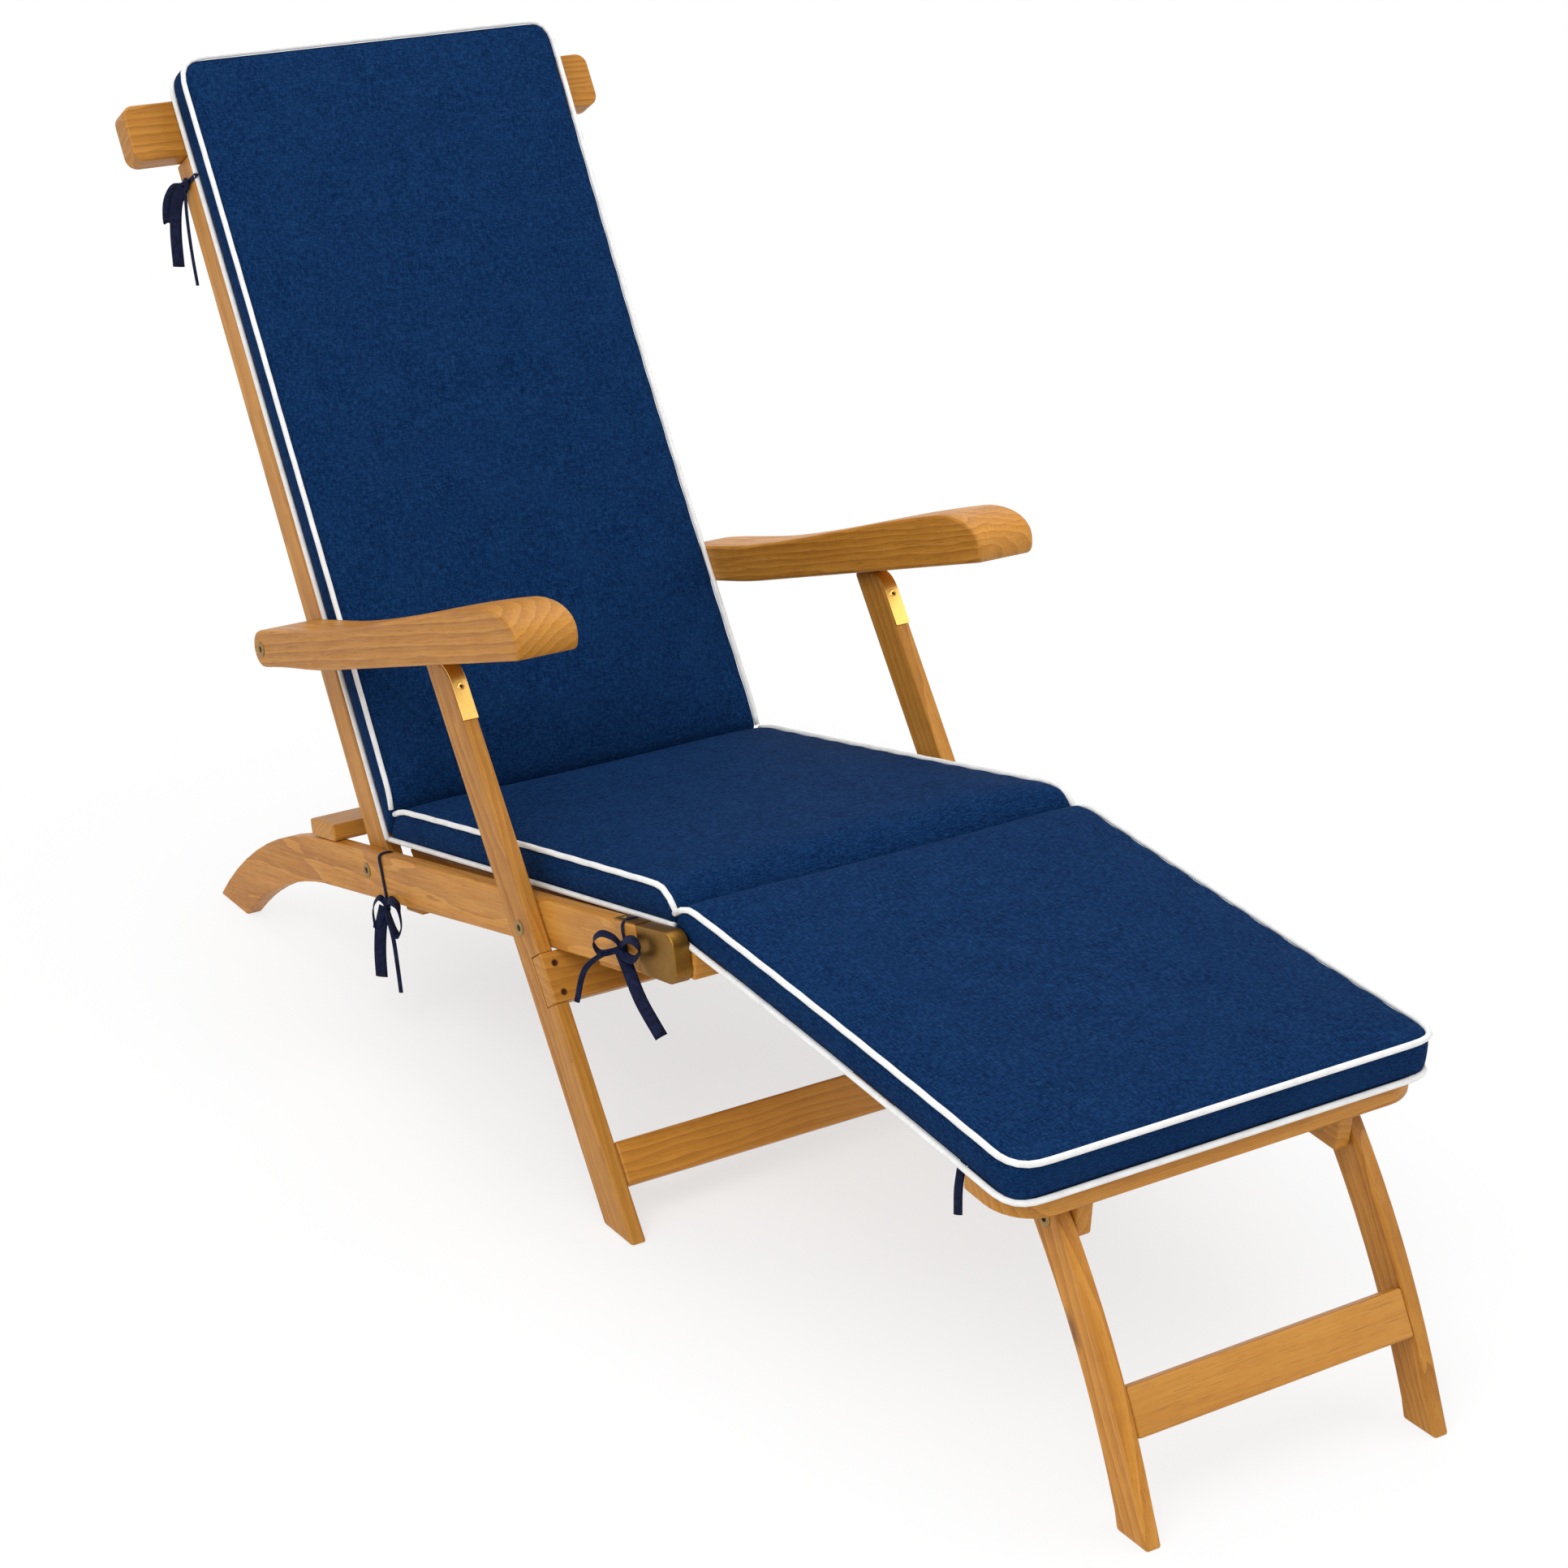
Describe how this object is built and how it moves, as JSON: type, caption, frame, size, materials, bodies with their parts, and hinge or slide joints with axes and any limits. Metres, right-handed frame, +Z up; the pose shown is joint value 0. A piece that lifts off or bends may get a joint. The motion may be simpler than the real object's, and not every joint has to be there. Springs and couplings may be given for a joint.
{
  "type": "folding deck chair",
  "caption": "Wooden folding steamer deck chair with a slatted back, swept arms, folding footrest and a piped box cushion tied on with ribbons.",
  "frame": {"origin": "middle of the floor under the chair's outline", "axes": "+Z up, the sitter faces -Y, +X to the sitter's left"},
  "size_m": [0.62, 1.7836, 1.0132],
  "materials": {
    "wood": "oiled honey-coloured hardwood, satin",
    "brass": "brushed brass, slightly dulled",
    "bolt_metal": "dark brass bolts with a shallow recess",
    "cushion_cloth": "navy woven outdoor cloth with white piping",
    "ribbon": "dark navy woven ribbon"
  },
  "bodies": {
    "seat": {"rail_left": "wood", "rail_right": "wood", "knuckle_left": "brass", "knuckle_right": "brass", "seat_bearer_left": "wood", "seat_bearer_right": "wood", "rear_cross_board": "wood", "seat_rear_bar": "wood", "seat_front_bar": "wood", "seat_slat_1": "wood", "seat_slat_2": "wood", "seat_slat_3": "wood", "seat_slat_4": "wood", "seat_slat_5": "wood", "seat_cushion": "cushion_cloth", "rear_tie_left": "ribbon", "rear_tie_right": "ribbon", "knee_tie_left": "ribbon", "knee_tie_right": "ribbon"},
    "back": {"stile_left": "wood", "stile_right": "wood", "headrail": "wood", "back_slat_1": "wood", "back_slat_2": "wood", "back_slat_3": "wood", "back_slat_4": "wood", "back_cushion": "cushion_cloth", "stile_tie_left": "ribbon", "stile_tie_right": "ribbon", "back_bolt_left": "bolt_metal", "back_bolt_right": "bolt_metal"},
    "arm_left": {"arm_left": "wood", "arm_bolt_left": "bolt_metal"},
    "arm_right": {"arm_right": "wood", "arm_bolt_right": "bolt_metal"},
    "legs": {"leg_left": "wood", "leg_right": "wood", "leg_plate_left": "brass", "leg_plate_right": "brass", "leg_bolt_left": "bolt_metal", "leg_bolt_right": "bolt_metal", "leg_upper_stretcher": "wood", "leg_lower_stretcher": "wood"},
    "footrest": {"foot_hinge_bar": "wood", "foot_front_board": "wood", "foot_slat_1": "wood", "foot_slat_2": "wood", "foot_slat_3": "wood", "foot_cleat_left": "wood", "foot_cleat_right": "wood", "knuckle_pin_left": "bolt_metal", "knuckle_pin_right": "bolt_metal", "foot_cushion": "cushion_cloth", "foot_tie_left": "ribbon", "foot_tie_right": "ribbon"},
    "footrest_legs": {"foot_leg_left": "wood", "foot_leg_right": "wood", "foot_leg_bolt_left": "bolt_metal", "foot_leg_bolt_right": "bolt_metal", "foot_leg_stretcher": "wood"}
  },
  "joints": [
    {"name": "frame_fold", "type": "hinge", "parent": "seat", "child": "back", "pos_m": [0, 0.40531, 0.184], "axis": [1, 0, 0], "range_deg": [0, 85], "deforming": ["back_cushion", "seat_cushion", "rear_tie_left", "rear_tie_right", "knee_tie_left", "knee_tie_right", "stile_tie_left", "stile_tie_right"]},
    {"name": "arm_left_fold", "type": "hinge", "parent": "back", "child": "arm_left", "pos_m": [0, 0.54554, 0.41283], "axis": [1, 0, 0], "range_deg": [-96.1, 0]},
    {"name": "arm_right_fold", "type": "hinge", "parent": "back", "child": "arm_right", "pos_m": [0, 0.54554, 0.41283], "axis": [1, 0, 0], "range_deg": [-96.1, 0]},
    {"name": "leg_fold", "type": "hinge", "parent": "seat", "child": "legs", "pos_m": [0, 0.01797, 0.26633], "axis": [1, 0, 0], "range_deg": [0, 80.8]},
    {"name": "footrest_fold", "type": "hinge", "parent": "seat", "child": "footrest", "pos_m": [0, -0.24886, 0.32407], "axis": [1, 0, 0], "range_deg": [0, 124.2], "deforming": ["foot_cushion", "foot_tie_left", "foot_tie_right"]},
    {"name": "footrest_leg_fold", "type": "hinge", "parent": "footrest", "child": "footrest_legs", "pos_m": [0, -0.73342, 0.25354], "axis": [1, 0, 0], "range_deg": [0, 108.1]}
  ],
  "couplings": [
    {"joint": "arm_left_fold", "follows": "frame_fold", "ratio": -1.13},
    {"joint": "arm_right_fold", "follows": "frame_fold", "ratio": -1.13},
    {"joint": "leg_fold", "follows": "frame_fold", "ratio": 0.95},
    {"joint": "footrest_fold", "follows": "frame_fold", "ratio": 1.46},
    {"joint": "footrest_leg_fold", "follows": "frame_fold", "ratio": 1.27}
  ]
}
